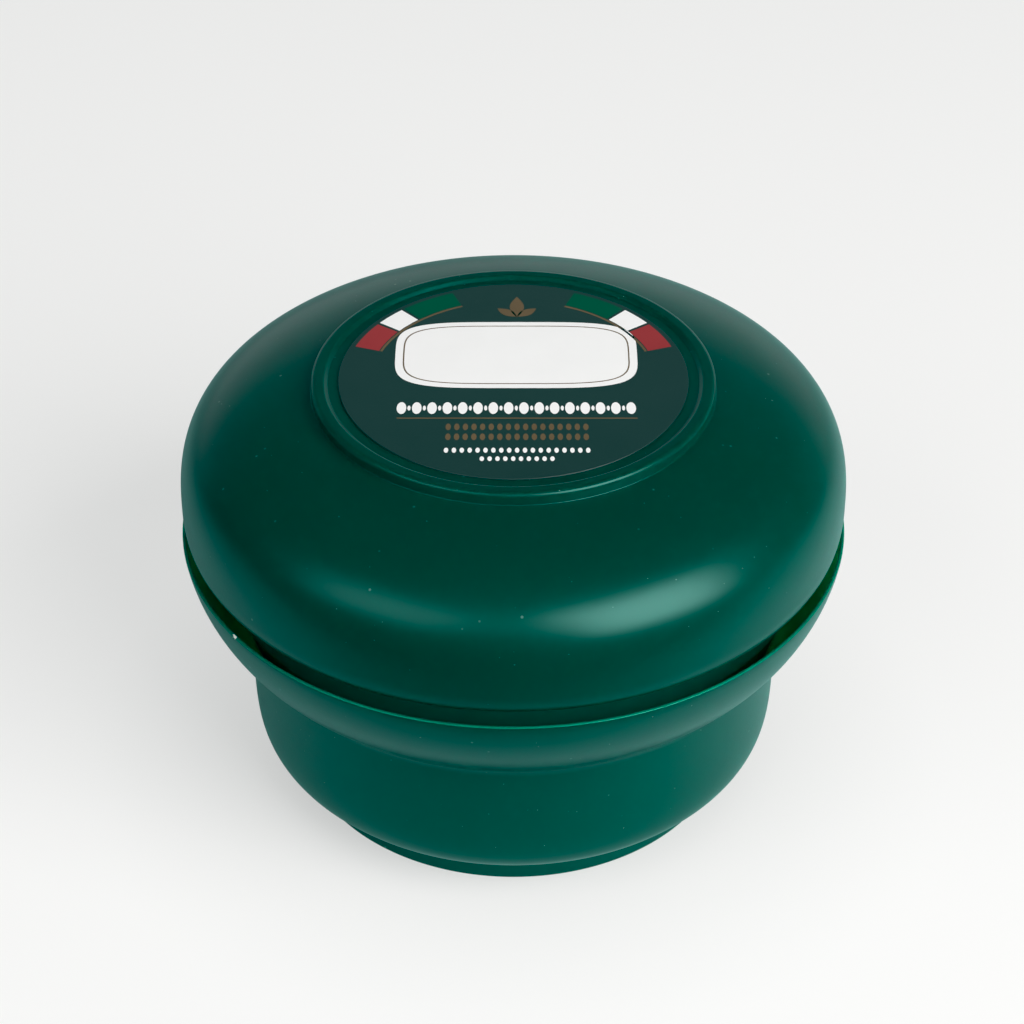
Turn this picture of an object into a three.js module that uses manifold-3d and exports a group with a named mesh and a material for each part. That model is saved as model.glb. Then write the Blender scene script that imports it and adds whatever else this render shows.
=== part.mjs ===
// A tub of shaving soap: a footed bowl with a flared saucer and a threaded neck, closed by a domed screw lid.
// Millimetres, +Z up, origin at the centre of the foot's underside.
import * as THREE from "three";
import { mergeVertices } from "three/addons/utils/BufferGeometryUtils.js";
import Module from "manifold-3d";

const wasm = await Module();
wasm.setup();

// ---- driving dimensions ----
const segments = 72; // facets round each turned piece
const wall = 1.9; // moulded wall of the bowl and the lid
const gap = 0.3; // room between pieces that touch
const film = 0.22; // thickness of a stuck-on label

const foot = { radius: 33, draft: 0.3, height: 6.6, recessRadius: 30.8, recessDepth: 2.2 };
const cup = { radius: 39.2, cornerRadius: 10.3, cornerZ: 13, shoulderZ: 8.5, floorZ: 4.2, wellRadius: 31.2 };
const saucer = { z: 26.8, rimRadius: 48.3, rimZ: 42.2, rimLand: 0.6, bulge: 23.3 };
const neck = { outer: 39.2, inner: 37.4, topZ: 50 };
const thread = { starts: 2, lead: 10, sweep: 250, depth: 1.4, rootHalf: 1.15, crestHalf: 0.45, z: 40.5 };
const soap = { topZ: 41, edge: 1.2, dish: 0.6 };
const lid = { radius: 48, edgeRadius: 47.3, edgeZ: 44.1, sideZ: 46.5, edgeLand: 1.5 };
const bead = { outer: 28.8, inner: 26.8, footZ: 64.5, topZ: 66.4, recessZ: 65.9, recessRadius: 26.3, edge: 0.3 };
const insert = { inner: 41.1, outer: 43, bottomZ: 36.6, roofZ: 51.5, roof: 1.5 };
const rib = { width: 1.3, bottomZ: 47.5, topZ: 58.6 };
const liner = { thickness: 1.1, radius: 40.8 };
const lidLabelRadius = 24.8;
const baseLabelRadius = 28.5;

// ---- finishes ----
const greenPlastic = { color: 0x00493a, roughness: 0.38, metalness: 0 };
const creamSoap = { color: 0xf1eddc, roughness: 0.45, metalness: 0 };
const whiteFoam = { color: 0xe9eae6, roughness: 0.85, metalness: 0 };
const darkPrint = { color: 0x22302f, roughness: 0.4, metalness: 0 };
const whitePaper = { color: 0xe8e9e4, roughness: 0.6, metalness: 0 };

// ---- outlines: points are (radius, height) ----
const at = (radius, z) => [new THREE.Vector2(radius, z)];

function bezier(from, c1, c2, to, steps) {
  const [a, b, c, d] = [from, c1, c2, to].map(([r, z]) => new THREE.Vector2(r, z));
  return new THREE.CubicBezierCurve(a, b, c, d).getPoints(steps);
}

// Part of a circle round (radius, z), from one angle to another in degrees.
function arc(radius, z, size, fromDegrees, toDegrees, steps) {
  const from = THREE.MathUtils.degToRad(fromDegrees);
  const to = THREE.MathUtils.degToRad(toDegrees);
  return new THREE.EllipseCurve(radius, z, size, size, from, to, to < from).getPoints(steps);
}

// The arc of a given radius from one point to another, bulging to the right of the way it goes.
function arcBetween([r1, z1], [r2, z2], size, steps) {
  const half = Math.hypot(r2 - r1, z2 - z1) / 2;
  const back = Math.sqrt(size * size - half * half);
  const [ur, uz] = [(r2 - r1) / (2 * half), (z2 - z1) / (2 * half)];
  const [cr, cz] = [(r1 + r2) / 2 - uz * back, (z1 + z2) / 2 + ur * back];
  const from = THREE.MathUtils.radToDeg(Math.atan2(z1 - cz, r1 - cr));
  const to = THREE.MathUtils.radToDeg(Math.atan2(z2 - cz, r2 - cr));
  return arc(cr, cz, size, from, to, steps);
}

// Turns an outline round the Z axis. It runs so that the material is on its left.
function turned(...stretches) {
  const points = stretches.flat();
  return new THREE.LatheGeometry(points, segments).rotateX(Math.PI / 2);
}

// ---- solids for cutting and joining ----
function solidOf(geometry) {
  const plain = new THREE.BufferGeometry();
  plain.setAttribute("position", geometry.getAttribute("position"));
  plain.setIndex(geometry.getIndex());
  const merged = mergeVertices(plain, 1e-4);
  const vertProperties = new Float32Array(merged.getAttribute("position").array);
  const triVerts = new Uint32Array(merged.getIndex().array);
  return new wasm.Manifold(new wasm.Mesh({ numProp: 3, vertProperties, triVerts }));
}

function geometryOf(solid) {
  const mesh = solid.getMesh();
  const geometry = new THREE.BufferGeometry();
  geometry.setAttribute("position", new THREE.BufferAttribute(new Float32Array(mesh.vertProperties), 3));
  geometry.setIndex(new THREE.BufferAttribute(new Uint32Array(mesh.triVerts), 1));
  geometry.computeVertexNormals();
  return geometry;
}

// One thread ridge: a trapezoid swept up a helix, sunk a little into its wall and fading out at both ends.
// side is 1 for a ridge that stands outwards, as on the neck, and -1 for one that stands inwards.
function threadRidge(rootRadius, side, z, startDegrees) {
  const stepDegrees = 5;
  const fadeDegrees = 20;
  const sunk = 0.4;
  const steps = thread.sweep / stepDegrees;
  const positions = [];
  const index = [];
  for (let i = 0; i <= steps; i++) {
    const turnedBy = i * stepDegrees;
    const angle = THREE.MathUtils.degToRad(startDegrees + turnedBy);
    const height = z + (thread.lead * turnedBy) / 360;
    const share = Math.min(1, turnedBy / fadeDegrees, (thread.sweep - turnedBy) / fadeDegrees);
    const root = rootRadius - side * sunk;
    const crest = rootRadius + side * (thread.depth * share - (sunk / 2) * (1 - share));
    const section = [
      [root, -thread.rootHalf],
      [crest, -thread.crestHalf],
      [crest, thread.crestHalf],
      [root, thread.rootHalf],
    ];
    for (const [radius, up] of section) {
      positions.push(radius * Math.cos(angle), radius * Math.sin(angle), height + up);
    }
  }
  const quad = (a, b, c, d) => index.push(a, b, c, a, c, d);
  for (let i = 0; i < steps; i++) {
    for (let k = 0; k < 4; k++) {
      const [here, next] = [i * 4 + k, i * 4 + ((k + 1) % 4)];
      quad(here, here + 4, next + 4, next);
    }
  }
  const last = steps * 4;
  quad(0, 1, 2, 3);
  quad(last, last + 3, last + 2, last + 1);
  if (side < 0) index.reverse();
  const geometry = new THREE.BufferGeometry();
  geometry.setAttribute("position", new THREE.Float32BufferAttribute(positions, 3));
  geometry.setIndex(index);
  return geometry;
}

function withThread(geometry, rootRadius, side, z) {
  let solid = solidOf(geometry);
  for (let start = 0; start < thread.starts; start++) {
    solid = solid.add(solidOf(threadRidge(rootRadius, side, z, (360 / thread.starts) * start)));
  }
  return geometryOf(solid);
}

// ---- the pieces ----
function bowlGeometry() {
  const cornerCentre = cup.radius - cup.cornerRadius;
  const outerStart = -THREE.MathUtils.radToDeg(Math.asin((cup.cornerZ - foot.height) / cup.cornerRadius));
  const innerCorner = cup.cornerRadius - wall;
  const innerStart = -THREE.MathUtils.radToDeg(Math.asin((cup.cornerZ - cup.shoulderZ) / innerCorner));
  const saucerInnerZ = saucer.z + 2.4;
  const rimInner = saucer.rimRadius - saucer.rimLand;
  const body = turned(
    at(0, foot.recessDepth),
    at(foot.recessRadius - foot.draft, foot.recessDepth),
    at(foot.recessRadius, 0),
    at(foot.radius - foot.draft, 0),
    at(foot.radius, foot.height),
    arc(cornerCentre, cup.cornerZ, cup.cornerRadius, outerStart, 0, 6),
    arcBetween([cup.radius + 0.25, saucer.z], [saucer.rimRadius, saucer.rimZ], saucer.bulge, 7),
    arcBetween([neck.outer + 0.6, saucerInnerZ], [rimInner, saucer.rimZ], saucer.bulge + 2, 7).reverse(),
    at(neck.outer, saucerInnerZ + 0.6),
    at(neck.outer, neck.topZ - 0.4),
    at(neck.outer - 0.4, neck.topZ),
    at(neck.inner + 0.4, neck.topZ),
    at(neck.inner, neck.topZ - 0.4),
    arc(cornerCentre, cup.cornerZ, innerCorner, 0, innerStart, 4),
    at(cup.wellRadius + 0.6, cup.shoulderZ),
    at(cup.wellRadius, cup.shoulderZ - 0.6),
    at(cup.wellRadius, cup.floorZ + 1),
    at(cup.wellRadius - 1, cup.floorZ),
    at(0, cup.floorZ),
  );
  return withThread(body, neck.outer, 1, thread.z);
}

function soapGeometry() {
  const cornerCentre = cup.radius - cup.cornerRadius;
  const corner = cup.cornerRadius - wall - gap;
  const shoulderZ = cup.shoulderZ + gap;
  const from = -THREE.MathUtils.radToDeg(Math.asin((cup.cornerZ - shoulderZ) / corner));
  const radius = cornerCentre + corner;
  const well = cup.wellRadius - gap;
  return turned(
    at(0, cup.floorZ + gap),
    at(well - 1, cup.floorZ + gap),
    at(well, cup.floorZ + gap + 1),
    at(well, shoulderZ),
    arc(cornerCentre, cup.cornerZ, corner, from, 0, 4),
    at(radius, soap.topZ - soap.edge),
    at(radius - soap.edge, soap.topZ),
    at(radius * 0.6, soap.topZ - soap.dish * 0.7),
    at(0, soap.topZ - soap.dish),
  );
}

function lidShellGeometry() {
  const inside = lid.radius - wall;
  const dome = bezier(
    [lid.radius, lid.sideZ],
    [lid.radius, lid.sideZ + 7.7],
    [lid.radius + 0.9, bead.footZ - 2.7],
    [bead.outer, bead.footZ],
    12,
  );
  const underside = bezier(
    [inside, lid.sideZ],
    [inside, lid.sideZ + 7],
    [inside + 0.8, bead.footZ - 4.3],
    [bead.inner, bead.footZ - 1.8],
    10,
  );
  const shell = turned(
    at(0, bead.topZ - 2.5),
    at(bead.inner - 1.5, bead.topZ - 2.5),
    underside.reverse(),
    at(lid.edgeRadius - lid.edgeLand, lid.edgeZ),
    at(lid.edgeRadius - 0.2, lid.edgeZ),
    bezier(
      [lid.edgeRadius, lid.edgeZ + 0.1],
      [lid.radius - 0.1, lid.edgeZ + 0.3],
      [lid.radius, lid.edgeZ + 1],
      [lid.radius, lid.sideZ - 0.5],
      3,
    ),
    dome,
    at(bead.outer, bead.topZ - bead.edge),
    at(bead.outer - bead.edge, bead.topZ),
    at(bead.inner + bead.edge, bead.topZ),
    at(bead.inner, bead.topZ - bead.edge),
    at(bead.recessRadius, bead.recessZ),
    at(0, bead.recessZ),
  );
  const ribInner = insert.outer + gap;
  const locatingRib = turned(
    at(ribInner, rib.bottomZ),
    at(ribInner + rib.width, rib.bottomZ),
    at(ribInner + rib.width, rib.topZ),
    at(ribInner, rib.topZ),
    at(ribInner, rib.bottomZ),
  );
  return geometryOf(solidOf(shell).add(solidOf(locatingRib)));
}

function lidInsertGeometry() {
  const body = turned(
    at(0, insert.roofZ),
    at(insert.inner, insert.roofZ),
    at(insert.inner, insert.bottomZ + 0.4),
    at(insert.inner + 0.4, insert.bottomZ),
    at(insert.outer - 0.4, insert.bottomZ),
    at(insert.outer, insert.bottomZ + 0.4),
    at(insert.outer, insert.roofZ + insert.roof - 0.5),
    at(insert.outer - 0.5, insert.roofZ + insert.roof),
    at(0, insert.roofZ + insert.roof),
  );
  const flankToFlank = thread.rootHalf + thread.crestHalf + 0.2;
  return withThread(body, insert.inner, -1, thread.z - flankToFlank);
}

function discGeometry(radius, bottomZ, thickness) {
  return turned(
    at(0, bottomZ),
    at(radius, bottomZ),
    at(radius, bottomZ + thickness),
    at(0, bottomZ + thickness),
  );
}

// ---- the assembly: the bowl stands still, the liner rises with the lid, the lid turns as it rises ----
const tub = new THREE.Group();

function piece(name, geometry, finish) {
  const mesh = new THREE.Mesh(geometry, new THREE.MeshStandardMaterial(finish));
  mesh.name = name;
  tub.add(mesh);
}

const linerZ = (neck.topZ + insert.roofZ - liner.thickness) / 2;
const labelGap = 0.03;

piece("bowl", bowlGeometry(), greenPlastic);
piece("soap_puck", soapGeometry(), creamSoap);
piece("base_label", discGeometry(baseLabelRadius, foot.recessDepth - labelGap - film, film), whitePaper);
piece("sealing_liner", discGeometry(liner.radius, linerZ, liner.thickness), whiteFoam);
piece("lid_insert", lidInsertGeometry(), greenPlastic);
piece("lid_shell", lidShellGeometry(), greenPlastic);
piece("lid_label", discGeometry(lidLabelRadius, bead.recessZ + labelGap, film), darkPrint);

export default tub;
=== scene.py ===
import math

import bmesh
import bpy
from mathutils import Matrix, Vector, noise as shapeNoise


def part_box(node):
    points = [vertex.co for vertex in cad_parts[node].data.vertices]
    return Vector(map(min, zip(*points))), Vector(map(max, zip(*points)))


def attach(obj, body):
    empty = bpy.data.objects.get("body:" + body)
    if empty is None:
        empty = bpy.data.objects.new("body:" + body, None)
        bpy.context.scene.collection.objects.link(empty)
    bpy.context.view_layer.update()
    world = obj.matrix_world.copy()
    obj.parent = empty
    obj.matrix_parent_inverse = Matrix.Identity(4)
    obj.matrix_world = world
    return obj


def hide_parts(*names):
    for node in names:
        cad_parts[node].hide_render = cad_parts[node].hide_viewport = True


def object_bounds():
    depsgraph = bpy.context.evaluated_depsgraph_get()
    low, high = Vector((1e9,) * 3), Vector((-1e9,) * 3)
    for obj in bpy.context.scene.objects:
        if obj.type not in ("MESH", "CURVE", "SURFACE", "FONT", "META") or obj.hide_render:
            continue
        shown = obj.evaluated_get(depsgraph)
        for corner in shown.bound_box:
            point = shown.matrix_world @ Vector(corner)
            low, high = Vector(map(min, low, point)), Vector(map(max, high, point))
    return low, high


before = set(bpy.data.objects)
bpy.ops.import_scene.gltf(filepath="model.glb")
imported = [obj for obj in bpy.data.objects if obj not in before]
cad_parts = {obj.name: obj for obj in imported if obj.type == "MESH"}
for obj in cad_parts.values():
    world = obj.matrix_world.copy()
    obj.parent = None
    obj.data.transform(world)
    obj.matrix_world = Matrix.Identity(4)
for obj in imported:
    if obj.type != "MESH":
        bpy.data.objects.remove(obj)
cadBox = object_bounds()
mm = 0.001
scene = bpy.context.scene
scene.view_settings.view_transform = "Standard"  # the pale floor stays white, and the green stays deep
scene.view_settings.use_curve_mapping = True
scene.view_settings.curve_mapping.black_level = (0.024, 0.0, 0.0)  # the deepest green keeps no trace of red


cameraSetup = {
    "elevation": 36.4,   # degrees above the table
    "distance": 0.4146,  # from the point it aims at, on the tub's axis
    "aimShare": 0.635,   # that point's height, as a share of the tub's
    "lens": 99.45,
    "sensor": 36.0,
    "shift": (-0.0014, 0.001),
}


def aimAt(holder, target, azimuth, elevation, distance):
    # azimuth 0 is in front of the tub, and 90 is on its right
    a, e = math.radians(azimuth), math.radians(elevation)
    back = Vector((math.sin(a) * math.cos(e), -math.cos(a) * math.cos(e), math.sin(e)))
    holder.location = target + back * distance
    holder.rotation_euler = (-back).to_track_quat("-Z", "Y").to_euler()


def makeCamera():
    data = bpy.data.cameras.new("camera")
    data.lens, data.sensor_width = cameraSetup["lens"], cameraSetup["sensor"]
    data.shift_x, data.shift_y = cameraSetup["shift"]
    data.clip_start, data.clip_end = 0.01, 20
    camera = bpy.data.objects.new("camera", data)
    scene.collection.objects.link(camera)
    target = Vector((0, 0, cadBox[1].z * cameraSetup["aimShare"]))
    aimAt(camera, target, 0, cameraSetup["elevation"], cameraSetup["distance"])
    scene.camera = camera


# lights and table: a tall softbox in front on the right, a weaker one on the left, a low card between
# them, and a pale backdrop's glow behind
softboxes = {
    "keySoftbox": {"azimuth": 46, "elevation": 32, "distance": 1.0, "size": (0.8, 0.76), "radiance": 8.9},
    "fillSoftbox": {"azimuth": -45, "elevation": 36, "distance": 1.1, "size": (0.9, 0.66), "radiance": 2.7},
    "frontCard": {"azimuth": 2, "elevation": 32, "distance": 1.1, "size": (0.7, 0.34), "radiance": 0.9},
}
tableTop = {
    "size": 5.0,
    "seen": {"albedo": 0.29, "glow": 0.61},  # what the camera sees
    "thrown": {"albedo": 0.57, "glow": (0.10, 0.32), "tint": (0.6, 1.0, 0.94)},  # what lights the tub
    "dimFront": (-0.108, -0.056),    # where the thrown light fades out, in front of the tub: painted shade
    "glowSides": (-0.02, 0.08),      # where the thrown glow grows, from left to right: painted light
    "contact": 0.03, "contactShare": 0.28,  # reach and depth of the painted shade at the foot
    "patches": 3.0, "fibre": 900.0,  # scales of the mottle and of the grain
}
studioAir = {
    "overhead": 0.03, "backdrop": 1.0, "fades": (0.12, 0.52), "behind": (0.45, 0.95),
    "halo": 0.06, "haloWay": (0.62, -0.66, 0.42), "haloSpan": (0.5, 1.0),
}


def makeSoftbox(name, azimuth, elevation, distance, size, radiance):
    data = bpy.data.lights.new(name, "AREA")
    data.shape = "RECTANGLE"
    data.size, data.size_y = size
    data.energy = radiance * math.pi * size[0] * size[1]  # an area light's watts give this radiance
    softbox = bpy.data.objects.new(name, data)
    scene.collection.objects.link(softbox)
    aimAt(softbox, Vector((0, 0, 0.04)), azimuth, elevation, distance)


def feed(tree, socket, value):
    if isinstance(value, bpy.types.NodeSocket):
        tree.links.new(value, socket)
    else:
        socket.default_value = value


def openSocket(sockets, name):
    # the one in use, where a node has several sockets of the same name
    return [s for s in sockets if s.name == name and s.enabled][0]


def addNode(tree, kind, inputs=None, **settings):
    # inputs maps a socket's name or number to a value or to another node's output
    node = tree.nodes.new(kind)
    for key, value in settings.items():
        setattr(node, key, value)
    for key, value in (inputs or {}).items():
        feed(tree, node.inputs[key], value)
    return node


def newMaterial(name):
    material = bpy.data.materials.new(name)
    material.use_nodes = True
    tree = material.node_tree
    tree.nodes.clear()
    place = addNode(tree, "ShaderNodeTexCoord").outputs["Object"]
    return material, tree, place


def finishMaterial(material, tree, inputs):
    shader = addNode(tree, "ShaderNodeBsdfPrincipled", inputs)
    addNode(tree, "ShaderNodeOutputMaterial", {"Surface": shader.outputs["BSDF"]})
    return material


def noise(tree, place, scale, detail=2.0, rough=0.5):
    inputs = {"Vector": place, "Scale": scale, "Detail": detail, "Roughness": rough}
    return addNode(tree, "ShaderNodeTexNoise", inputs).outputs["Fac"]


def relief(tree, height, strength, distance):
    inputs = {"Height": height, "Strength": strength, "Distance": distance}
    return addNode(tree, "ShaderNodeBump", inputs).outputs["Normal"]


def calculate(tree, operation, *values):
    return addNode(tree, "ShaderNodeMath", dict(enumerate(values)), operation=operation).outputs[0]


def ramp(tree, value, low, high, fromMin=0.0, fromMax=1.0):
    # spreads a value over a range
    inputs = {"Value": value, "From Min": fromMin, "From Max": fromMax, "To Min": low, "To Max": high}
    return addNode(tree, "ShaderNodeMapRange", inputs).outputs["Result"]


def blendColours(tree, share, first, second):
    node = addNode(tree, "ShaderNodeMix", data_type="RGBA")
    for key, value in (("Factor", share), ("A", first), ("B", second)):
        feed(tree, openSocket(node.inputs, key), value)
    return openSocket(node.outputs, "Result")


def whiteTable():
    # seen directly it is evenly pale; what it throws on the tub is painted shade and light: it fades out in
    # front and glows more to the right
    material, tree, place = newMaterial("whiteTable")
    direct, thrown = tableTop["seen"], tableTop["thrown"]
    seen = addNode(tree, "ShaderNodeLightPath").outputs["Is Camera Ray"]
    spot = addNode(tree, "ShaderNodeSeparateXYZ", {"Vector": place}).outputs
    reach = ramp(tree, spot["Y"], 0.0, 1.0, *tableTop["dimFront"])
    sideGlow = ramp(tree, spot["X"], *thrown["glow"], *tableTop["glowSides"])
    bounced = [thrown["albedo"] * v for v in thrown["tint"]]
    thrownTone = blendColours(tree, reach, (0, 0, 0, 1), (*bounced, 1))
    albedo = direct["albedo"]
    darker, paler = (albedo, albedo, albedo * 0.98, 1), (albedo * 1.05, albedo * 1.05, albedo * 1.04, 1)
    seenTone = blendColours(tree, noise(tree, place, tableTop["patches"], 3.0), darker, paler)
    # painted shade: close under the tub the table's glow is dimmed
    near = addNode(tree, "ShaderNodeAmbientOcclusion", {"Distance": tableTop["contact"]}, samples=12)
    shaded = direct["glow"] * (1 - tableTop["contactShare"])
    seenGlow = ramp(tree, near.outputs["AO"], shaded, direct["glow"])
    thrownGlow = calculate(tree, "MULTIPLY", reach, sideGlow)
    return finishMaterial(material, tree, {
        "Base Color": blendColours(tree, seen, thrownTone, seenTone),
        "Emission Strength": ramp(tree, seen, thrownGlow, seenGlow),
        "Emission Color": blendColours(tree, seen, (*thrown["tint"], 1), (1, 1, 0.992, 1)),
        "Normal": relief(tree, noise(tree, place, tableTop["fibre"]), 0.05, 0.0001),
        "Roughness": 0.9, "Specular IOR Level": 0.1,
    })


def makeTable():
    half = tableTop["size"] / 2
    mesh = bpy.data.meshes.new("table")
    corners = [(-half, -half, 0), (half, -half, 0), (half, half, 0), (-half, half, 0)]
    mesh.from_pydata(corners, [], [(0, 1, 2, 3)])
    mesh.materials.append(whiteTable())
    table = bpy.data.objects.new("table", mesh)
    scene.collection.objects.link(table)


def makeAir():
    # dim above, brighter low down behind the tub, with a faint halo on the front right
    world = bpy.data.worlds.new("studioAir")
    world.use_nodes = True
    tree = world.node_tree
    way = addNode(tree, "ShaderNodeTexCoord").outputs["Generated"]
    parts = addNode(tree, "ShaderNodeSeparateXYZ", {"Vector": way}).outputs
    low = ramp(tree, parts["Z"], 1.0, 0.0, *studioAir["fades"])
    behind = ramp(tree, parts["Y"], 0.0, studioAir["backdrop"], *studioAir["behind"])
    glow = calculate(tree, "MULTIPLY_ADD", low, behind, studioAir["overhead"])
    inputs = {0: way, 1: studioAir["haloWay"]}
    aligned = addNode(tree, "ShaderNodeVectorMath", inputs, operation="DOT_PRODUCT").outputs["Value"]
    near = ramp(tree, aligned, 0.0, 1.0, *studioAir["haloSpan"])
    glow = calculate(tree, "MULTIPLY_ADD", near, studioAir["halo"], glow)
    sky = tree.nodes["Background"].inputs
    sky["Color"].default_value = (1, 1, 1, 1)
    feed(tree, sky["Strength"], glow)
    scene.world = world


makeCamera()
for name, setup in softboxes.items():
    makeSoftbox(name, **setup)
makeTable()
makeAir()
print("camera, lights and table are in place")


# finishes
greens = {
    "deep": (0.0, 0.0325, 0.020, 1),
    "fresh": (0.0, 0.0385, 0.0245, 1),
    "dust": (0.16, 0.25, 0.22, 1),
    "glossTint": (0.45, 1.0, 0.88, 1),
    "roughness": (0.27, 0.33),
    "glow": 0.0016,  # how far light travels inside the plastic
}


def specks(tree, place, scale, size, share):
    # scattered spots: near the centre of a cell, in a share of the cells only
    cells = addNode(tree, "ShaderNodeTexVoronoi", {"Vector": place, "Scale": scale, "Randomness": 1.0})
    spot = ramp(tree, cells.outputs["Distance"], 1.0, 0.0, size * 0.4, size)
    chance = addNode(tree, "ShaderNodeSeparateColor", {"Color": cells.outputs["Color"]}).outputs["Red"]
    return calculate(tree, "MULTIPLY", spot, calculate(tree, "LESS_THAN", chance, share))


def mouldedGreen(name, dustShare, deep=greens["deep"], fresh=greens["fresh"], glow=greens["glow"]):
    # dyed plastic: a soft cloud in the colour, a fine grain and a slow wave in the surface, pale specks
    material, tree, place = newMaterial(name)
    cloud = noise(tree, place, 28.0, 3.0)
    grain = noise(tree, place, 2600.0, 3.0, 0.6)
    wave = noise(tree, place, 160.0)
    speckle = ramp(tree, specks(tree, place, 900.0, 0.22, dustShare), 0.0, 0.6)
    rough = ramp(tree, cloud, *greens["roughness"])
    return finishMaterial(material, tree, {
        "Base Color": blendColours(tree, speckle, blendColours(tree, cloud, deep, fresh), greens["dust"]),
        "Roughness": calculate(tree, "MULTIPLY_ADD", grain, 0.06, rough),
        "Normal": relief(tree, calculate(tree, "MULTIPLY_ADD", wave, 3.0, grain), 0.22, 0.00002),
        "IOR": 1.46, "Specular Tint": greens["glossTint"],
        "Subsurface Weight": 0.8, "Subsurface Radius": (0.1, 1.0, 0.7), "Subsurface Scale": glow,
    })


def castSoap():
    # a cloudy cream with a fine grain and a few pits
    material, tree, place = newMaterial("castSoap")
    cloud = noise(tree, place, 45.0, 4.0, 0.6)
    grain = noise(tree, place, 1400.0, 3.0, 0.6)
    pitted = calculate(tree, "MULTIPLY_ADD", specks(tree, place, 420.0, 0.3, 0.1), -2.0, grain)
    return finishMaterial(material, tree, {
        "Base Color": blendColours(tree, cloud, (0.80, 0.77, 0.66, 1), (0.88, 0.86, 0.78, 1)),
        "Roughness": ramp(tree, cloud, 0.35, 0.55),
        "Normal": relief(tree, calculate(tree, "MULTIPLY_ADD", cloud, 4.0, pitted), 0.4, 0.0001),
        "Subsurface Weight": 0.25, "Subsurface Radius": (1.0, 0.8, 0.55), "Subsurface Scale": 0.002,
    })


def closedFoam():
    material, tree, place = newMaterial("closedFoam")
    cells = addNode(tree, "ShaderNodeTexVoronoi", {"Vector": place, "Scale": 2200.0}).outputs["Distance"]
    cloud = noise(tree, place, 60.0, 3.0)
    return finishMaterial(material, tree, {
        "Base Color": blendColours(tree, cloud, (0.74, 0.75, 0.73, 1), (0.82, 0.83, 0.81, 1)),
        "Roughness": ramp(tree, cells, 0.7, 0.9),
        "Normal": relief(tree, cells, 0.5, 0.00008),
    })


def printedInk(name, dark, light, roughness):
    # varnished print: a slight mottle in the colour and a fine dot in the gloss
    material, tree, place = newMaterial(name)
    cloud = noise(tree, place, 90.0, 4.0, 0.6)
    grain = noise(tree, place, 3500.0)
    return finishMaterial(material, tree, {
        "Base Color": blendColours(tree, cloud, dark, light),
        "Roughness": ramp(tree, grain, roughness - 0.04, roughness + 0.06),
        "Normal": relief(tree, grain, 0.12, 0.00002),
    })


# outlines are points (radius, height) in millimetres, with the material on the left of the way they run
def rounded(corners, steps=5):
    # each corner is (radius, height, fillet)
    points = []
    for i, (radius, height, fillet) in enumerate(corners):
        here = Vector((radius, height))
        if fillet == 0:
            points.append(here)
            continue
        before = Vector(corners[i - 1][:2]) - here
        after = Vector(corners[i + 1][:2]) - here
        turn = math.pi - before.angle(after)
        reach = min(fillet * math.tan(turn / 2), 0.4 * before.length, 0.4 * after.length)
        start, end = before.normalized() * reach, after.normalized() * reach
        points.append(here + start * 1.2)
        for k in range(steps + 1):
            s = k / steps
            points.append(here + start * (1 - s) ** 2 + end * s ** 2)
        points.append(here + end * 1.2)
    return points


def bezier(a, b, c, d, steps):
    a, b, c, d = (Vector(p) for p in (a, b, c, d))
    points = []
    for k in range(steps + 1):
        t = k / steps
        u = 1 - t
        points.append(a * u ** 3 + b * 3 * t * u * u + c * 3 * t * t * u + d * t ** 3)
    return points


def bulge(start, end, size, steps):
    # an arc of radius size from start to end, which bulges to the right of its way
    start, end = Vector(start), Vector(end)
    half = (end - start).length / 2
    along = (end - start).normalized()
    centre = (start + end) / 2 + Vector((-along.y, along.x)) * math.sqrt(size * size - half * half)
    first = math.atan2(*(start - centre).yx)
    last = math.atan2(*(end - centre).yx)
    angles = [first + (last - first) * k / steps for k in range(steps + 1)]
    return [centre + Vector((math.cos(a), math.sin(a))) * size for a in angles]


def newTree(name, sockets):
    tree = bpy.data.node_groups.new(name, "GeometryNodeTree")
    tree.interface.new_socket("Geometry", in_out="OUTPUT", socket_type="NodeSocketGeometry")
    for socketName, kind in sockets:
        tree.interface.new_socket(socketName, in_out="INPUT", socket_type="NodeSocket" + kind)
    return tree, addNode(tree, "NodeGroupInput").outputs, addNode(tree, "NodeGroupOutput")


def finishTree(tree, geometry, material, output):
    real = addNode(tree, "GeometryNodeRealizeInstances", {"Geometry": geometry}).outputs["Geometry"]
    coated = addNode(tree, "GeometryNodeSetMaterial", {"Geometry": real, "Material": material})
    feed(tree, output.inputs["Geometry"], coated.outputs["Geometry"])


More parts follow.
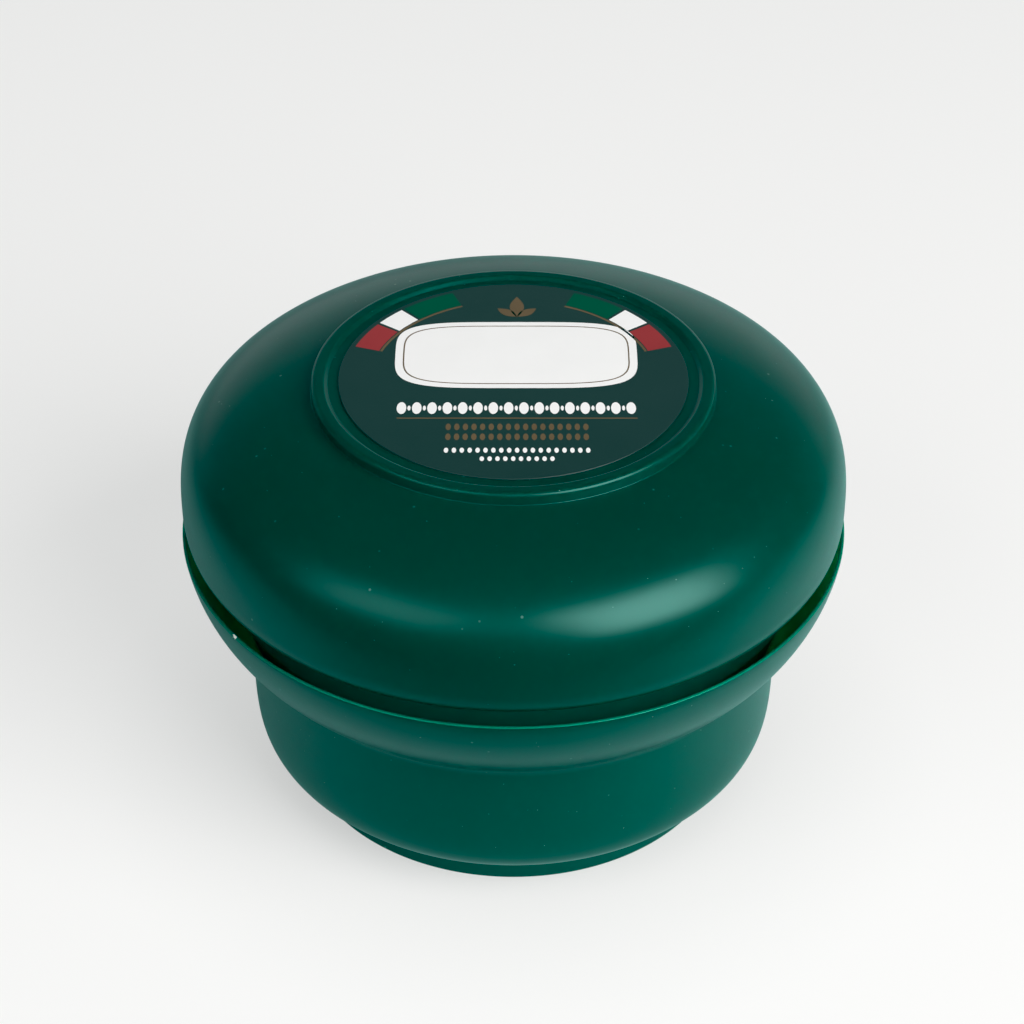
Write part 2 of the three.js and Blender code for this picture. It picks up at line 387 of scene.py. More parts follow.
def turnedTree():
    # turns an outline round the Z axis: in every column of a grid, each point keeps its radius and height
    sockets = [("Outline", "Geometry"), ("Facets", "Int"), ("Finish", "Material")]
    tree, given, output = newTree("turnedShape", sockets)
    size = addNode(tree, "GeometryNodeAttributeDomainSize", {"Geometry": given["Outline"]})
    rows = size.outputs["Point Count"]
    columns = calculate(tree, "ADD", given["Facets"], 1.0)
    grid = addNode(tree, "GeometryNodeMeshGrid", {"Vertices X": columns, "Vertices Y": rows})
    index = addNode(tree, "GeometryNodeInputIndex").outputs["Index"]
    row = calculate(tree, "MODULO", index, rows)
    middle = calculate(tree, "ADD", index, 0.5)  # keeps the division clear of whole numbers
    column = calculate(tree, "FLOOR", calculate(tree, "DIVIDE", middle, rows))
    position = addNode(tree, "GeometryNodeInputPosition").outputs["Position"]
    sample = addNode(tree, "GeometryNodeSampleIndex", data_type="FLOAT_VECTOR")
    for key, value in (("Geometry", given["Outline"]), ("Value", position), ("Index", row)):
        feed(tree, sample.inputs[key], value)
    point = addNode(tree, "ShaderNodeSeparateXYZ", {"Vector": sample.outputs["Value"]}).outputs
    angle = calculate(tree, "DIVIDE", calculate(tree, "MULTIPLY", column, math.tau), given["Facets"])
    across = calculate(tree, "MULTIPLY", point["X"], calculate(tree, "COSINE", angle))
    along = calculate(tree, "MULTIPLY", point["X"], calculate(tree, "SINE", angle))
    place = addNode(tree, "ShaderNodeCombineXYZ", {"X": across, "Y": along, "Z": point["Z"]})
    shaped = addNode(tree, "GeometryNodeSetPosition", {
        "Geometry": grid.outputs["Mesh"], "Position": place.outputs["Vector"]})
    welded = addNode(tree, "GeometryNodeMergeByDistance", {
        "Geometry": shaped.outputs["Geometry"], "Distance": 1e-7})
    smooth = addNode(tree, "GeometryNodeSetShadeSmooth", {"Geometry": welded.outputs["Geometry"]})
    finishTree(tree, smooth.outputs["Geometry"], given["Finish"], output)
    return tree


def threadTree():
    # one ridge on each start: a trapezoid on a helix, which shrinks into the wall at both ends
    sockets = [("Geometry", "Geometry"), ("Radius", "Float"), ("Turns", "Float"), ("Rise", "Float"),
               ("Bottom", "Float"), ("Root", "Float"), ("Crest", "Float"), ("Height", "Float"),
               ("Outwards", "Float"), ("Starts", "Int"), ("Finish", "Material")]
    tree, given, output = newTree("threadRidges", sockets)
    helix = addNode(tree, "GeometryNodeCurveSpiral", {
        "Resolution": 90, "Rotations": given["Turns"], "Start Radius": given["Radius"],
        "End Radius": given["Radius"], "Height": given["Rise"]})
    upright = addNode(tree, "GeometryNodeSetCurveNormal", {"Curve": helix.outputs["Curve"]}, mode="Z_UP")
    factor = addNode(tree, "GeometryNodeSplineParameter").outputs["Factor"]
    fromEnd = calculate(tree, "MINIMUM", factor, calculate(tree, "SUBTRACT", 1.0, factor))
    fade = ramp(tree, fromEnd, 0.06, 1.0, 0.0, 0.08)
    section = addNode(tree, "GeometryNodeCurvePrimitiveQuadrilateral", {
        "Height": given["Height"], "Bottom Width": given["Root"], "Top Width": given["Crest"],
        "Offset": 0.0}, mode="TRAPEZOID")
    turned = addNode(tree, "GeometryNodeTransform", {
        "Geometry": section.outputs["Curve"], "Rotation": (0, 0, math.pi / 2)})
    side = addNode(tree, "ShaderNodeCombineXYZ", {"X": given["Outwards"], "Y": 1.0, "Z": 1.0})
    sided = addNode(tree, "GeometryNodeTransform", {
        "Geometry": turned.outputs["Geometry"], "Scale": side.outputs["Vector"]})
    ridge = addNode(tree, "GeometryNodeCurveToMesh", {
        "Curve": upright.outputs["Curve"], "Profile Curve": sided.outputs["Geometry"],
        "Scale": fade, "Fill Caps": True})
    spots = addNode(tree, "GeometryNodeMeshLine", {"Count": given["Starts"], "Offset": (0, 0, 0)})
    number = addNode(tree, "GeometryNodeInputIndex").outputs["Index"]
    turn = calculate(tree, "DIVIDE", calculate(tree, "MULTIPLY", number, math.tau), given["Starts"])
    rotation = addNode(tree, "ShaderNodeCombineXYZ", {"Z": turn}).outputs["Vector"]
    copies = addNode(tree, "GeometryNodeInstanceOnPoints", {
        "Points": spots.outputs["Mesh"], "Instance": ridge.outputs["Mesh"], "Rotation": rotation})
    lift = addNode(tree, "ShaderNodeCombineXYZ", {"Z": given["Bottom"]})
    lifted = addNode(tree, "GeometryNodeTransform", {
        "Geometry": copies.outputs["Instances"], "Translation": lift.outputs["Vector"]})
    finishTree(tree, lifted.outputs["Geometry"], given["Finish"], output)
    return tree


def keepResult(piece):
    # swaps a piece's mesh and modifiers for the plain mesh they make
    depsgraph = bpy.context.evaluated_depsgraph_get()
    mesh = bpy.data.meshes.new_from_object(piece.evaluated_get(depsgraph), depsgraph=depsgraph)
    piece.modifiers.clear()
    piece.data = mesh
    return mesh


def grow(name, source, tree, values):
    # runs a tree on a mesh and keeps its result as a plain mesh
    piece = bpy.data.objects.new(name, source)
    scene.collection.objects.link(piece)
    modifier = piece.modifiers.new("grow", "NODES")
    modifier.node_group = tree
    sockets = [s for s in tree.interface.items_tree if s.item_type == "SOCKET" and s.in_out == "INPUT"]
    for socket in sockets:
        if socket.name in values:
            modifier[socket.identifier] = values[socket.name]
    keepResult(piece).name = name
    return piece


turnedShape = turnedTree()
threadRidges = threadTree()
facets = 240


def turnedPiece(name, outline, finish):
    points = [(p.x * mm, 0, p.y * mm) for p in outline]
    mesh = bpy.data.meshes.new(name + "Outline")
    mesh.from_pydata(points, [(i, i + 1) for i in range(len(points) - 1)], [])
    return grow(name, mesh, turnedShape, {"Facets": facets, "Finish": finish})


def weld(piece, other):
    # joins two closed meshes into one moulding
    join = piece.modifiers.new("weld", "BOOLEAN")
    join.operation, join.object, join.solver = "UNION", other, "EXACT"
    keepResult(piece).set_sharp_from_angle(angle=math.radians(32))
    bpy.data.objects.remove(other)


def settle(piece, body, slot, *nodes):
    if nodes:
        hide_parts(*nodes)
    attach(piece, body)
    print(piece.name, "has", len(piece.data.polygons), "faces and rides on", body)


# screw thread, shared by the neck and the lid's inner cap
thread = {"starts": 2, "lead": 10.0, "sweep": 250.0, "depth": 1.4, "root": 2.3, "crest": 0.9, "sunk": 0.4}


def ridges(name, wallRadius, outwards, bottom, finish):
    height = thread["depth"] + thread["sunk"]
    middle = wallRadius + outwards * (height / 2 - thread["sunk"])
    rootWidth = thread["root"] + (thread["root"] - thread["crest"]) * thread["sunk"] / thread["depth"]
    turns = thread["sweep"] / 360
    values = {
        "Radius": middle * mm, "Turns": turns, "Rise": thread["lead"] * turns * mm, "Bottom": bottom * mm,
        "Root": rootWidth * mm, "Crest": thread["crest"] * mm, "Height": height * mm,
        "Outwards": float(outwards), "Starts": thread["starts"], "Finish": finish,
    }
    return grow(name, bpy.data.meshes.new(name), threadRidges, values)


def plain(points):
    return [(p.x, p.y, 0) for p in points]


# bowl: foot ring, cup, flared saucer and threaded neck in one moulding
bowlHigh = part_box("bowl")[1]
bowl = {
    "footInner": 30.8, "footOuter": 33.0, "footDraft": 0.3, "footHeight": 6.6, "baseRecess": 2.2,
    "cornerRadius": 37.0, "cornerHeight": 6.7, "cupHandles": ((39.86, 9.14), (38.97, 12.72)),
    "waistRadius": 39.45, "waistHeight": 26.8, "waistFillet": 2.4,
    "rimRadius": bowlHigh.x / mm, "rimHeight": 42.25, "rimRound": 0.5, "lip": 0.5,
    "outerArc": 23.3, "innerArc": 24.8, "troughWidth": 1.0, "troughHeight": 28.6,
    "neckOuter": 39.2, "neckInner": 37.4, "neckTop": bowlHigh.z / mm,
    "shoulderHeight": 8.5, "wellRadius": 31.2, "floorHeight": 4.2, "threadHeight": 40.5,
}
# faces that get a paler green as painted light: the saucer's inside, clear of the neck, as painted glow of
# light coming through it, and the rim this far in and down, as a painted highlight
paintedLightZones = {"bottom": 27, "top": 38, "neck": 39.5, "saucer": 42, "rim": (1, 0.45)}


def coatFaces(piece, finish, chosen):
    # gives some faces a finish of their own: chosen reads a face's radius and height, and how far it
    # faces out and up
    piece.data.materials.append(finish)
    last = len(piece.data.materials) - 1
    for face in piece.data.polygons:
        x, y, z = face.center / mm
        radius = max(math.hypot(x, y), 0.001)
        out = (face.normal.x * x + face.normal.y * y) / radius
        if chosen(radius, z, out, face.normal.z):
            face.material_index = last


def insideSaucer(radius, height, out, up):
    w = paintedLightZones
    offNeck = w["neck"] < radius and (height < w["top"] or radius > w["saucer"])
    return offNeck and w["bottom"] < height and out < 0.3 and up > -0.1


def onRim(radius, height, out, up):
    inward, down = paintedLightZones["rim"]
    return radius > bowl["rimRadius"] - inward and height > bowl["rimHeight"] - down and up > 0.2


def makeBowl(finish, paintedGlowFinish, paintedRimFinish):
    b = bowl
    waist = (b["waistRadius"], b["waistHeight"])
    trough = (b["neckOuter"] + b["troughWidth"], b["troughHeight"])
    arcTop, innerRim = b["rimHeight"] - b["rimRound"], b["rimRadius"] - b["lip"]
    cupWall = bezier((b["cornerRadius"], b["cornerHeight"]), *b["cupHandles"], waist, 22)
    outside = bulge(waist, (b["rimRadius"], arcTop), b["outerArc"], 18)
    inside = bulge(trough, (innerRim, arcTop), b["innerArc"], 14)
    corners = [
        (0, b["baseRecess"], 0),
        (b["footInner"] - b["footDraft"], b["baseRecess"], 0.5),
        (b["footInner"], 0, 0.4),
        (b["footOuter"] - b["footDraft"], 0, 0.5),
        (b["footOuter"], b["footHeight"], 0.3),
        (b["cornerRadius"], b["footHeight"], 0.3),
        *plain(cupWall[1:-4]),  # the points next to the waist give way to its fillet
        (*waist, b["waistFillet"]),
        *plain(outside[5:]),
        (b["rimRadius"], b["rimHeight"], 0.25),
        (innerRim, b["rimHeight"], 0.35),
        *plain(inside[:0:-1]),
        (b["neckOuter"] + 0.6, b["troughHeight"] - 0.3, 0.8),
        (b["neckOuter"], b["troughHeight"] + 0.8, 0.8),
        (b["neckOuter"], b["neckTop"], 0.5),
        (b["neckInner"], b["neckTop"], 0.5),
        (b["neckInner"], b["shoulderHeight"], 3.0),
        (b["wellRadius"] + 0.3, b["shoulderHeight"], 0.6),
        (b["wellRadius"], b["floorHeight"], 1.0),
        (0, b["floorHeight"], 0),
    ]
    piece = turnedPiece("bowlMoulding", rounded(corners), finish)
    weld(piece, ridges("neckRidges", b["neckOuter"], 1, b["threadHeight"], finish))
    # the saucer's inside and the rim get paler greens: painted glow and a painted highlight
    coatFaces(piece, paintedGlowFinish, insideSaucer)
    coatFaces(piece, paintedRimFinish, onRim)
    settle(piece, "tub", "bowl_plastic", "bowl")
    return piece


# soap, poured into the cup: it creeps up the wall a little and sinks in the middle
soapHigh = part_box("soap_puck")[1]
soap = {
    "top": soapHigh.z / mm, "fit": 0.02, "creep": 0.45, "dish": 0.6,
    "swirl": 0.05, "swirls": 26, "rings": 40, "edge": 1.6,
}


def makeSoap(finish):
    wall, well = bowl["neckInner"] - soap["fit"], bowl["wellRadius"] - soap["fit"]
    shoulder, floor = bowl["shoulderHeight"] + soap["fit"], bowl["floorHeight"] + soap["fit"]
    top = soap["top"]
    surface = []
    for k in range(soap["rings"]):
        share = 1 - k / soap["rings"]
        swirl = soap["swirl"] * math.sin(share * soap["swirls"]) * share
        dip = soap["dish"] * (1 - share ** 2) + swirl
        surface.append((share * (wall - soap["edge"]), top - dip, 0))
    corners = [
        (0, floor, 0),
        (well, floor, 1.0),
        (well + 0.3, shoulder, 0.6),
        (wall, shoulder, 3.0),
        (wall, top + soap["creep"], 0.1),
        (wall - 0.5, top + 0.12, 0.5),
        *surface,
        (0, top - soap["dish"], 0),
    ]
    piece = turnedPiece("castSoapCake", rounded(corners), finish)
    settle(piece, "tub", "soap", "soap_puck")


# lid: outer moulding with its raised ring, and the inner cap with the thread
lidLow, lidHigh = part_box("lid_shell")
lid = {
    "radius": lidHigh.x / mm, "sideHeight": 46.5, "wall": 1.9,
    "edgeRadius": 47.28, "edgeHeight": lidLow.z / mm, "edgeInner": 45.8, "edgeRoll": 0.7,
    "edgeCurve": ((47.25, 44.3), (47.75, 44.95)), "edgeLift": 45.9,
    "domeHandles": ((0, 7.65), (0.91, -2.77)),       # from the side's top and from the ring's foot
    "underHandles": ((0, 7), (0.8, -4.3)), "underEnd": (26.8, -1.8),
    "ringFoot": 64.55, "ringOuter": 28.7, "ringInner": 26.85, "ringTop": lidHigh.z / mm,
    "recessRadius": 26.25, "recessHeight": 65.88,
    "ceiling": 63.9, "ceilingRadius": 25.0, "ceilingEdge": 57,
    "ribInner": 43.3, "ribOuter": 44.6, "ribBottom": 47.5,
}


def heightAt(points, radius):
    for a, b in zip(points, points[1:]):
        if min(a.x, b.x) <= radius <= max(a.x, b.x):
            return a.y + (b.y - a.y) * (radius - a.x) / (b.x - a.x)
    return points[-1].y


def makeLid(finish):
    d = lid
    r, side, foot, inside = d["radius"], d["sideHeight"], d["ringFoot"], d["radius"] - d["wall"]
    (sideX, sideY), (footX, footY) = d["domeHandles"]
    dome = bezier((r, side), (r + sideX, side + sideY), (r + footX, foot + footY), (d["ringOuter"], foot), 44)
    rollTop = side + d["edgeRoll"]
    dome = [p for p in dome if p.y > rollTop + 0.2]
    roll = bezier(*d["edgeCurve"], (r, d["edgeLift"]), (r, rollTop), 8)
    (sideX, sideY), (footX, footY) = d["underHandles"]
    endX, endY = d["underEnd"]
    under = bezier((inside, side), (inside + sideX, side + sideY), (inside + footX, foot + footY),
                   (endX, foot + endY), 30)
    under.reverse()
    ribTop = {key: heightAt(under, d[key]) for key in ("ribInner", "ribOuter")}
    ceilingPart = [p for p in under if p.x < d["ribInner"] - 0.4 and p.y > d["ceilingEdge"]]
    falling = [p for p in under if p.y < ribTop["ribOuter"] - 0.3]
    corners = [
        (0, d["ceiling"], 0),
        (d["ceilingRadius"], d["ceiling"], 0.6),
        *plain(ceilingPart),
        (d["ribInner"], ribTop["ribInner"], 0.4),
        (d["ribInner"], d["ribBottom"], 0.3),
        (d["ribOuter"], d["ribBottom"], 0.3),
        (d["ribOuter"], ribTop["ribOuter"], 0.3),
        *plain(falling),
        (d["edgeInner"], d["edgeHeight"], 0.3),
        (d["edgeRadius"] - 0.2, d["edgeHeight"], 0.2),
        *plain(roll),
        *plain(dome[:-1]),
        (d["ringOuter"], foot, 0.2),
        (d["ringOuter"], d["ringTop"], 0.75),
        (d["ringInner"], d["ringTop"], 0.6),
        (d["recessRadius"], d["recessHeight"], 0.2),
        (0, d["recessHeight"], 0),
    ]
    piece = turnedPiece("lidMoulding", rounded(corners), finish)
    settle(piece, "lid", "lid_plastic", "lid_shell")
    return piece


capLow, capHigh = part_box("lid_insert")  # the inner cap's female thread meshes with the neck's
cap = {
    "outer": capHigh.x / mm, "inner": 41.1, "bottom": capLow.z / mm, "top": capHigh.z / mm,
    "roof": 51.5, "threadDrop": 1.8,
}


def makeInnerCap(finish):
    c = cap
    corners = [
        (0, c["roof"], 0),
        (c["inner"], c["roof"], 0.5),
        (c["inner"], c["bottom"], 0.4),
        (c["outer"], c["bottom"], 0.4),
        (c["outer"], c["top"], 0.5),
        (0, c["top"], 0),
    ]
    piece = turnedPiece("innerCap", rounded(corners), finish)
    weld(piece, ridges("capRidges", c["inner"], -1, bowl["threadHeight"] - c["threadDrop"], finish))
    settle(piece, "lid", "insert_plastic", "lid_insert")


# liner: foam disc, dented where the neck presses on it
linerLow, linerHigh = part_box("sealing_liner")
liner = {"dent": 0.07, "dentFit": 0.2, "dentEdge": 0.3, "round": 0.25}


def makeLiner(finish):
    low, high, outer = linerLow.z / mm, linerHigh.z / mm, linerHigh.x / mm
    dented, edge = low + liner["dent"], liner["dentEdge"]
    dentIn, dentOut = bowl["neckInner"] + liner["dentFit"], bowl["neckOuter"] - liner["dentFit"]
    corners = [
        (0, low, 0),
        (dentIn - edge, low, edge),
        (dentIn, dented, edge),
        (dentOut, dented, edge),
        (dentOut + edge, low, edge),
        (outer, low, liner["round"]),
        (outer, high, liner["round"]),
        (0, high, 0),
    ]
    piece = turnedPiece("foamLiner", rounded(corners), finish)
    settle(piece, "seal", "liner_foam", "sealing_liner")


# labels: stickers, and the ink on them
stickerLow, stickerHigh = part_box("lid_label")
sticker = {"radius": stickerHigh.x / mm, "bottom": stickerLow.z / mm, "top": stickerHigh.z / mm, "ink": 0.012}


def makeSticker(name, low, high, radius, finish, body, slot, node):
    corners = [(0, low, 0), (radius, low, 0.03), (radius, high, 0.08), (0, high, 0)]
    settle(turnedPiece(name, rounded(corners, 3), finish), body, slot, node)


def inkPrism(vertices, faces, outline, low, high):
    # adds a thin closed slab of ink with this outline, which runs anticlockwise
    first, count = len(vertices), len(outline)
    vertices += [(x * mm, y * mm, low * mm) for x, y in outline]
    vertices += [(x * mm, y * mm, high * mm) for x, y in outline]
    faces.append([first + count + i for i in range(count)])
    faces.append([first + i for i in reversed(range(count))])
    for i in range(count):
        j = (i + 1) % count
        faces.append([first + i, first + j, first + count + j, first + count + i])


def inkMesh(name, outlines, low, high, finish):
    vertices, faces = [], []
    for outline in outlines:
        inkPrism(vertices, faces, outline, low, high)
    mesh = bpy.data.meshes.new(name)
    mesh.from_pydata(vertices, [], faces)
    mesh.materials.append(finish)
    piece = bpy.data.objects.new(name, mesh)
    scene.collection.objects.link(piece)
    return piece


def softPanel(x, y, halfWide, halfHigh, squareness, steps=96):
    # a superellipse: a rounded panel with gently bowed sides
    outline = []
    for k in range(steps):
        a = math.tau * k / steps
        c, s = math.cos(a), math.sin(a)
        outline.append((x + halfWide * math.copysign(abs(c) ** (2 / squareness), c),
                        y + halfHigh * math.copysign(abs(s) ** (2 / squareness), s)))
    return outline


def ringPart(inner, outer, start, end, steps=16):
    # part of a ring, from one angle to another in degrees
    angles = [math.radians(start + (end - start) * k / steps) for k in range(steps + 1)]
    far = [(outer * math.cos(a), outer * math.sin(a)) for a in angles]
    near = [(inner * math.cos(a), inner * math.sin(a)) for a in reversed(angles)]
    return far + near


def leaf(x, y, length, width, angle, steps=10):
    # a pointed leaf that starts at (x, y)
    c, s = math.cos(math.radians(angle)), math.sin(math.radians(angle))
    outline = []
    for side, way in ((-1, range(steps)), (1, range(steps, 0, -1))):
        for k in way:
            t = k / steps
            out = side * width / 2 * math.sin(math.pi * t)
            outline.append((x + length * t * c - out * s, y + length * t * s + out * c))
    return outline


def bothSides(outlines):
    # adds each outline's mirror image, turned back to run anticlockwise
    return outlines + [[(-x, y) for x, y in reversed(outline)] for outline in outlines]


def beadTree():
    # an oval dot of ink on each point, as wide and as long as the point's own size says
    sockets = [("Spots", "Geometry"), ("Thickness", "Float"), ("Finish", "Material")]
    tree, given, output = newTree("inkBeads", sockets)
    size = addNode(tree, "GeometryNodeInputNamedAttribute", {"Name": "beadSize"}, data_type="FLOAT_VECTOR")
    dot = addNode(tree, "GeometryNodeMeshCylinder", {
        "Vertices": 20, "Radius": 0.5, "Depth": given["Thickness"]})
    copies = addNode(tree, "GeometryNodeInstanceOnPoints", {
        "Points": given["Spots"], "Instance": dot.outputs["Mesh"], "Scale": size.outputs["Attribute"]})
    finishTree(tree, copies.outputs["Instances"], given["Finish"], output)
    return tree


def beadRow(count, left, right, y, wide, long):
    # evenly spaced beads: (place, size) of each
    step = (right - left) / (count - 1)
    return [((left + step * k, y), (wide, long)) for k in range(count)]


def makeBeads(name, beads, height, finish):
    mesh = bpy.data.meshes.new(name)
    mesh.from_pydata([(x * mm, y * mm, height * mm) for (x, y), size in beads], [], [])
    sizes = mesh.attributes.new("beadSize", "FLOAT_VECTOR", "POINT")
    sizes.data.foreach_set("vector", [v for place, (w, h) in beads for v in (w * mm, h * mm, 1.0)])
    return grow(name, mesh, beadTree(), {"Thickness": sticker["ink"] * mm, "Finish": finish})


inks = {  # dark, light, roughness
    "white": ((0.84, 0.84, 0.83, 1), (0.9, 0.9, 0.89, 1), 0.35),
    "gold": ((0.10, 0.058, 0.026, 1), (0.16, 0.095, 0.045, 1), 0.4),
    "red": ((0.25, 0.018, 0.022, 1), (0.32, 0.026, 0.030, 1), 0.35),
    "green": ((0.004, 0.055, 0.022, 1), (0.008, 0.075, 0.032, 1), 0.35),
}
lidPrint = {  # sizes in millimetres and degrees, from the label's centre
    "sunk": 0.004, "framed": 0.002, "field": 0.008,  # ink into the sticker, and one ink over another
    "panel": (0.4, 5.7, 17.3, 8.6, 4.2),          # x, y, half width, half height, squareness
    "frame": (0.4, 5.7, 16.2, 7.6, 4.2),
    "inner": (0.4, 5.7, 16.0, 7.4, 4.2),
    "band": (20.4, 24.0), "line": (19.9, 20.25),  # inner and outer radius
    "whiteSpan": (133, 144), "redSpan": (145.2, 161), "greenSpan": (112, 131.8), "lineSpan": (112, 161),
    "rule": ((-16.2, -10.5), (17.2, -10.5), (17.2, -10.25), (-16.2, -10.25)),
    "leaves": ((0.5, 15.6, 5.6, 2.1, 90), (0.5, 15.8, 3.6, 1.6, 38), (0.5, 15.8, 3.6, 1.6, 142)),
    "whiteInkBeads": (  # count, left, right, y, width, length
        (16, -15.6, 16.4, -7.9, 1.35, 2.9), (15, -14.55, 15.35, -7.9, 0.45, 1.2),
        (19, -9.2, 10.2, -18.1, 0.62, 1.2), (10, -4.3, 5.3, -20.1, 0.62, 1.1)),
    "goldInkBeads": ((17, -9.0, 10.0, -12.5, 0.75, 1.6), (17, -9.0, 10.0, -14.9, 0.75, 1.6)),
}


def makeLidPrint():
    d = lidPrint
    low, high = sticker["top"] - d["sunk"], sticker["top"] + sticker["ink"]
    white, gold, red, green = (printedInk(name + "Ink", *look) for name, look in inks.items())
    bands = {key: bothSides([ringPart(*d["band"], *d[key])]) for key in ("whiteSpan", "redSpan", "greenSpan")}
    lines = [*bothSides([ringPart(*d["line"], *d["lineSpan"])]), *(leaf(*v) for v in d["leaves"]), d["rule"]]
    prints = {
        "whiteInkPanel": ([softPanel(*d["panel"]), *bands["whiteSpan"]], white, low, high),
        "goldInkLines": (lines, gold, low, high),
        "goldInkFrame": ([softPanel(*d["frame"])], gold, high - d["framed"], high + 2 * d["framed"]),
        "whiteInkField": ([softPanel(*d["inner"])], white, high, high + d["field"]),
        "redInkArcs": (bands["redSpan"], red, low, high),
        "greenInkArcs": (bands["greenSpan"], green, low, high),
    }
    for name, (outlines, finish, bottom, top) in prints.items():
        settle(inkMesh(name, outlines, bottom, top, finish), "lid", "lid_print")
    for name, finish in (("whiteInkBeads", white), ("goldInkBeads", gold)):
        beads = [bead for row in d[name] for bead in beadRow(*row)]
        settle(makeBeads(name, beads, sticker["top"], finish), "lid", "lid_print")


# dust: tiny flecks that have settled on the plastic
dustFlecks = {"Density": 17000, "Smallest": 0.03 * mm, "Largest": 0.085 * mm}


def facingOut(tree, limit):
    # picks the faces that look away from the origin, under the middle of the foot
    normal = addNode(tree, "GeometryNodeInputNormal").outputs["Normal"]
    position = addNode(tree, "GeometryNodeInputPosition").outputs["Position"]
    outward = addNode(tree, "ShaderNodeVectorMath", {0: normal, 1: position}, operation="DOT_PRODUCT")
    return calculate(tree, "GREATER_THAN", outward.outputs["Value"], limit)


def randomValue(tree, least, most, seed):
    node = addNode(tree, "FunctionNodeRandomValue", data_type="FLOAT")
    for key, value in (("Min", least), ("Max", most), ("Seed", seed)):
        feed(tree, openSocket(node.inputs, key), value)
    return openSocket(node.outputs, "Value")


def dustTree():
    sockets = [("Surface", "Geometry"), ("Density", "Float"), ("Smallest", "Float"), ("Largest", "Float"),
               ("Seed", "Int"), ("Finish", "Material")]
    tree, given, output = newTree("dustFlecks", sockets)
    points = addNode(tree, "GeometryNodeDistributePointsOnFaces", {
        "Mesh": given["Surface"], "Selection": facingOut(tree, 0.004),
        "Density": given["Density"], "Seed": given["Seed"]})
    fleck = addNode(tree, "GeometryNodeMeshIcoSphere", {"Radius": 1.0, "Subdivisions": 1})
    flat = addNode(tree, "GeometryNodeTransform", {
        "Geometry": fleck.outputs["Mesh"], "Scale": (1.3, 0.8, 0.5)})
    copies = addNode(tree, "GeometryNodeInstanceOnPoints", {
        "Points": points.outputs["Points"], "Instance": flat.outputs["Geometry"],
        "Rotation": points.outputs["Rotation"],
        "Scale": randomValue(tree, given["Smallest"], given["Largest"], given["Seed"])})
    finishTree(tree, copies.outputs["Instances"], given["Finish"], output)
    return tree


# lint: short bent fibres lying on the plastic
lintFibres = {"Density": 420, "Length": 1.1 * mm, "Thickness": 0.018 * mm, "Bend": 0.9}


def lintTree():
    sockets = [("Surface", "Geometry"), ("Density", "Float"), ("Length", "Float"), ("Thickness", "Float"),
               ("Bend", "Float"), ("Seed", "Int"), ("Finish", "Material")]
    tree, given, output = newTree("lintFibres", sockets)
    points = addNode(tree, "GeometryNodeDistributePointsOnFaces", {
        "Mesh": given["Surface"], "Selection": facingOut(tree, 0.03),
        "Density": given["Density"], "Seed": given["Seed"]})
    radius = calculate(tree, "DIVIDE", given["Length"], given["Bend"])
    arc = addNode(tree, "GeometryNodeCurveArc", {
        "Resolution": 9, "Radius": radius, "Sweep Angle": given["Bend"]})
    section = addNode(tree, "GeometryNodeCurvePrimitiveCircle", {
        "Resolution": 5, "Radius": given["Thickness"]})
    fibre = addNode(tree, "GeometryNodeCurveToMesh", {
        "Curve": arc.outputs["Curve"], "Profile Curve": section.outputs["Curve"], "Fill Caps": True})
    back = addNode(tree, "ShaderNodeCombineXYZ", {
        "X": calculate(tree, "MULTIPLY", radius, -1.0), "Z": given["Thickness"]})
    centred = addNode(tree, "GeometryNodeTransform", {
        "Geometry": fibre.outputs["Mesh"], "Translation": back.outputs["Vector"]})
    spin = addNode(tree, "FunctionNodeAxisAngleToRotation", {
        "Axis": (0, 0, 1), "Angle": randomValue(tree, 0.0, math.tau, given["Seed"])})
    turned = addNode(tree, "FunctionNodeRotateRotation", {
        "Rotation": points.outputs["Rotation"], "Rotate By": spin.outputs["Rotation"]},
        rotation_space="LOCAL")
    copies = addNode(tree, "GeometryNodeInstanceOnPoints", {
        "Points": points.outputs["Points"], "Instance": centred.outputs["Geometry"],
        "Rotation": turned.outputs["Rotation"]})
    finishTree(tree, copies.outputs["Instances"], given["Finish"], output)
    return tree


def scatter(name, surface, tree, values, seed, finish, body):
    # grows loose bits on a copy of a piece's surface, and they ride with it
    piece = grow(name, surface.data.copy(), tree, {**values, "Seed": seed, "Finish": finish})
    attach(piece, body)
    print(name, "has", len(piece.data.polygons), "faces")


# crumb of dried soap on the rim
crumb = {
    "azimuth": -53.2, "radius": 48.15, "height": 42.1, "size": (0.16, 0.62, 0.34),
    "lumps": 0.55, "lumpScale": 1.7, "lumpStart": (3, 1, 7),
}


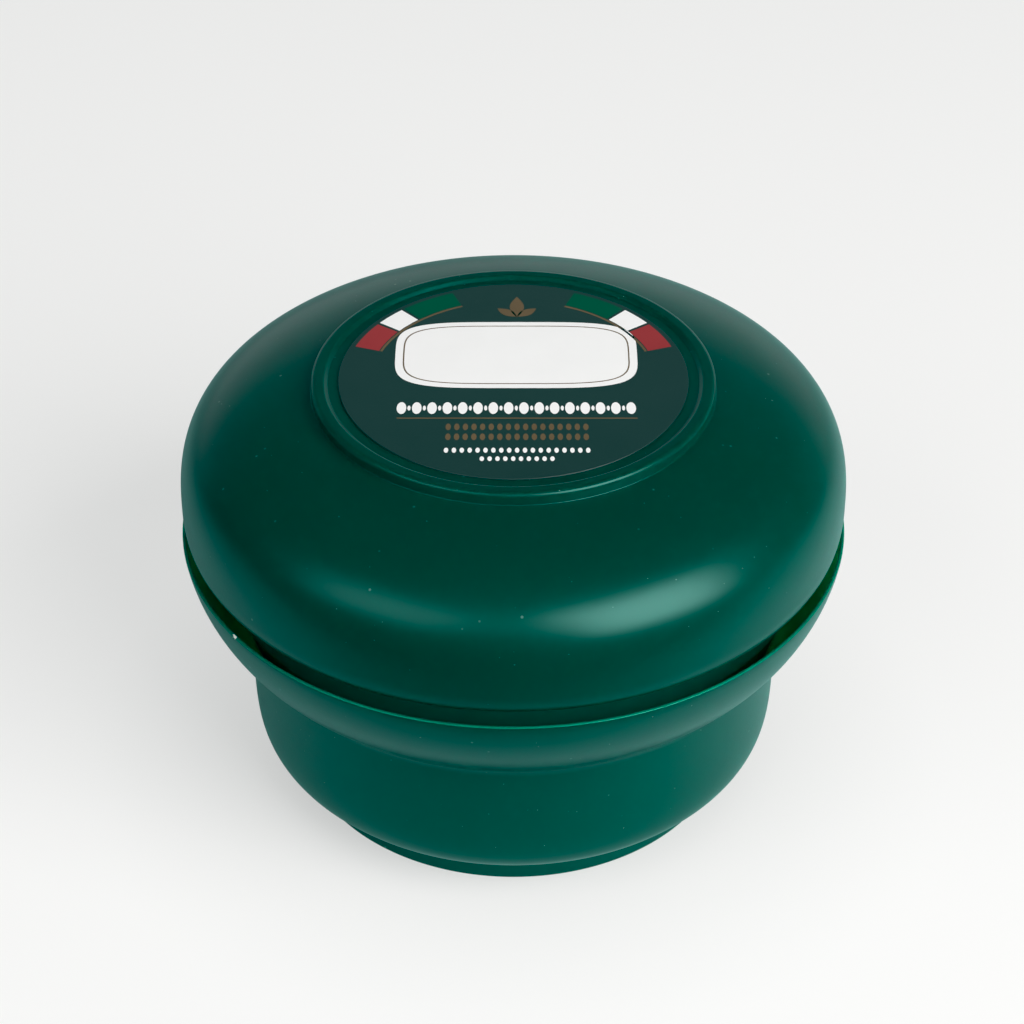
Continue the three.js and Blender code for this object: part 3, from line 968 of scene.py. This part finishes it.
def makeSoapFleck(finish):
    a = math.radians(crumb["azimuth"])
    out, along = Vector((math.sin(a), -math.cos(a), 0)), Vector((math.cos(a), math.sin(a), 0))
    centre = out * crumb["radius"] + Vector((0, 0, crumb["height"]))
    thick, wide, high = crumb["size"]
    ball = bmesh.new()
    bmesh.ops.create_icosphere(ball, subdivisions=3, radius=1)
    for vertex in ball.verts:
        swell = shapeNoise.noise(vertex.co * crumb["lumpScale"] + Vector(crumb["lumpStart"]))
        x, y, z = vertex.co * (1 + crumb["lumps"] * swell)
        vertex.co = (centre + out * x * thick + along * y * wide + Vector((0, 0, z * high))) * mm
    mesh = bpy.data.meshes.new("soapFleck")
    ball.to_mesh(mesh)
    ball.free()
    mesh.shade_smooth()
    mesh.materials.append(finish)
    piece = bpy.data.objects.new("soapFleck", mesh)
    scene.collection.objects.link(piece)
    settle(piece, "tub", "soap")


# finishes of single pieces: the saucer's thin wall and its rim get paler greens, painted glow of the light
# that comes through the plastic, with a painted highlight on the rim's lip
saucerPaintedGlow = mouldedGreen("saucerPaintedGlow", 0.02, (0.0, 0.21, 0.14, 1), (0.0, 0.25, 0.17, 1), 0.0029)
# the rim's paler green is a painted highlight and painted glow on the lip
paintedRimHighlight = mouldedGreen("paintedRimHighlight", 0.02, (0.0, 0.12, 0.075, 1), (0.0, 0.15, 0.09, 1))
# the inner cap's paler green is painted light in the shaded gap under the lid
capPaintedLight = mouldedGreen("innerCapPaintedLight", 0.005, (0.0, 0.06, 0.042, 1), (0.0, 0.07, 0.05, 1))
charcoal = printedInk("charcoalInk", (0.017, 0.025, 0.022, 1), (0.022, 0.032, 0.029, 1), 0.38)
paper = printedInk("basePaper", (0.78, 0.79, 0.76, 1), (0.84, 0.85, 0.82, 1), 0.6)
lint = printedInk("paleLint", (0.09, 0.17, 0.145, 1), (0.26, 0.36, 0.32, 1), 0.8)
soapFinish = castSoap()

bowlPiece = makeBowl(mouldedGreen("bowlGreen", 0.02), saucerPaintedGlow, paintedRimHighlight)
makeSoap(soapFinish)
makeSoapFleck(soapFinish)
lidPiece = makeLid(mouldedGreen("lidGreen", 0.02))
makeInnerCap(capPaintedLight)
makeLiner(closedFoam())
makeSticker("lidSticker", sticker["bottom"], sticker["top"], sticker["radius"],
            charcoal, "lid", "lid_print", "lid_label")
makeLidPrint()
baseLow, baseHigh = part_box("base_label")
makeSticker("baseSticker", baseLow.z / mm, baseHigh.z / mm, baseHigh.x / mm,
            paper, "tub", "base_paper", "base_label")
fleckTree = dustTree()
scatter("lidDust", lidPiece, fleckTree, dustFlecks, 3, lint, "lid")
scatter("bowlDust", bowlPiece, fleckTree, dustFlecks, 8, lint, "tub")
scatter("lidLint", lidPiece, lintTree(), lintFibres, 5, lint, "lid")
